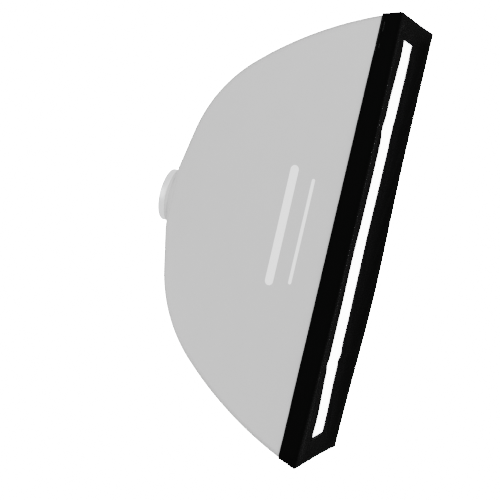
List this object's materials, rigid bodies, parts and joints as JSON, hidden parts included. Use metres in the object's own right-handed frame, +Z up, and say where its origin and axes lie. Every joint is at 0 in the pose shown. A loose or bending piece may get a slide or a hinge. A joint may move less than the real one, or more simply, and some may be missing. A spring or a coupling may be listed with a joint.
{
  "type": "strip softbox",
  "caption": "Tall strip softbox: fabric shell on flexible rods, turning ring on a tube clamp, white diffuser and a black strip mask over the front.",
  "frame": {"origin": "centre of the clamp bore at the adapter's rear face, where the lamp head enters", "axes": "+Y out of the bore toward the lamp head, -Y the way the light leaves, +Z up along the softbox's long side, +X across its short side"},
  "size_m": [0.31, 0.448, 0.92],
  "materials": {
    "adapter_metal": "satin turned",
    "liner_rubber": "matte",
    "fastener_steel": "dull zinc",
    "knob_plastic": "fine texture",
    "bearing_nylon": "matte",
    "ring_metal": "satin cast",
    "socket_plastic": "matte",
    "rod_fibreglass": "smooth",
    "shell_fabric": "tight plain weave, silver lining inside",
    "hook_tape": "hook tape",
    "diffuser_cloth": "white translucent cloth",
    "elastic_webbing": "ribbed elastic",
    "snap_metal": "plated",
    "loop_tape": "loop tape",
    "mask_fabric": "dense black plain weave"
  },
  "bodies": {
    "adapter": {"adapter_collar": "adapter_metal", "bore_liner": "liner_rubber", "clamp_stud": "fastener_steel", "clamp_nut": "fastener_steel", "retaining_ring": "fastener_steel"},
    "frame": {"bearing_sleeve": "bearing_nylon", "ring_hub": "ring_metal", "rod_brackets": "ring_metal", "bracket_screws": "fastener_steel", "socket_pins": "fastener_steel", "rod_top_left": "rod_fibreglass", "rod_top_right": "rod_fibreglass", "rod_bottom_left": "rod_fibreglass", "rod_bottom_right": "rod_fibreglass", "rod_tips": "knob_plastic", "corner_pockets": "shell_fabric", "shell_top": "shell_fabric", "shell_bottom": "shell_fabric", "shell_left": "shell_fabric", "shell_right": "shell_fabric", "rear_collar": "shell_fabric", "cinch_strap": "shell_fabric", "rim_binding": "shell_fabric", "lip_hook_tape": "hook_tape", "inner_baffle": "diffuser_cloth", "baffle_straps": "elastic_webbing", "baffle_snaps": "snap_metal", "front_diffuser": "diffuser_cloth", "diffuser_loop_tape": "loop_tape"},
    "mask": {"mask_face": "mask_fabric", "mask_skirt": "mask_fabric", "slot_hem": "mask_fabric", "mask_grip_tape": "hook_tape"},
    "clamp_washer": {"clamp_washer": "fastener_steel"},
    "clamp_knob": {"clamp_knob": "knob_plastic"},
    "brake_pad": {"brake_pad": "liner_rubber"},
    "lock_knob": {"lock_knob": "knob_plastic"},
    "socket_top_left": {"socket_top_left": "socket_plastic"},
    "socket_top_right": {"socket_top_right": "socket_plastic"},
    "socket_bottom_left": {"socket_bottom_left": "socket_plastic"},
    "socket_bottom_right": {"socket_bottom_right": "socket_plastic"}
  },
  "joints": [
    {"name": "ring_spin", "type": "hinge", "parent": "adapter", "child": "frame", "pos_m": [0, 0, 0], "axis": [0, 1, 0], "continuous": true},
    {"name": "clamp_lift", "type": "slide", "parent": "adapter", "child": "clamp_washer", "axis": [0, 0, 1], "range_m": [0, 0.0025]},
    {"name": "clamp_turn", "type": "hinge", "parent": "clamp_washer", "child": "clamp_knob", "pos_m": [0.065, -0.0065, 0.012], "axis": [0, 0, 1], "range_deg": [0, 720]},
    {"name": "brake_slide", "type": "slide", "parent": "frame", "child": "brake_pad", "axis": [1, 0, 0], "range_m": [0, 0.00125]},
    {"name": "lock_turn", "type": "hinge", "parent": "brake_pad", "child": "lock_knob", "pos_m": [0.07, -0.029, 0], "axis": [1, 0, 0], "range_deg": [0, 360]},
    {"name": "mask_pull", "type": "slide", "parent": "frame", "child": "mask", "axis": [0, -1, 0], "range_m": [0, 0.15], "deforming": ["mask_skirt", "mask_grip_tape"]},
    {"name": "tilt_top_left", "type": "hinge", "parent": "frame", "child": "socket_top_left", "pos_m": [-0.05345, -0.0424, 0.06023], "axis": [0.9747, 0, 0.2234], "range_deg": [0, 15], "deforming": ["rod_top_left"]},
    {"name": "tilt_top_right", "type": "hinge", "parent": "frame", "child": "socket_top_right", "pos_m": [0.05345, -0.0424, 0.06023], "axis": [0.9747, 0, -0.2234], "range_deg": [0, 15], "deforming": ["rod_top_right"]},
    {"name": "tilt_bottom_left", "type": "hinge", "parent": "frame", "child": "socket_bottom_left", "pos_m": [-0.05345, -0.0424, -0.06023], "axis": [-0.9747, 0, 0.2234], "range_deg": [0, 15], "deforming": ["rod_bottom_left"]},
    {"name": "tilt_bottom_right", "type": "hinge", "parent": "frame", "child": "socket_bottom_right", "pos_m": [0.05345, -0.0424, -0.06023], "axis": [-0.9747, 0, -0.2234], "range_deg": [0, 15], "deforming": ["rod_bottom_right"]}
  ],
  "couplings": [
    {"joint": "clamp_turn", "follows": "clamp_lift", "rad_per_m": 5026.5},
    {"joint": "lock_turn", "follows": "brake_slide", "rad_per_m": 5026.5}
  ]
}
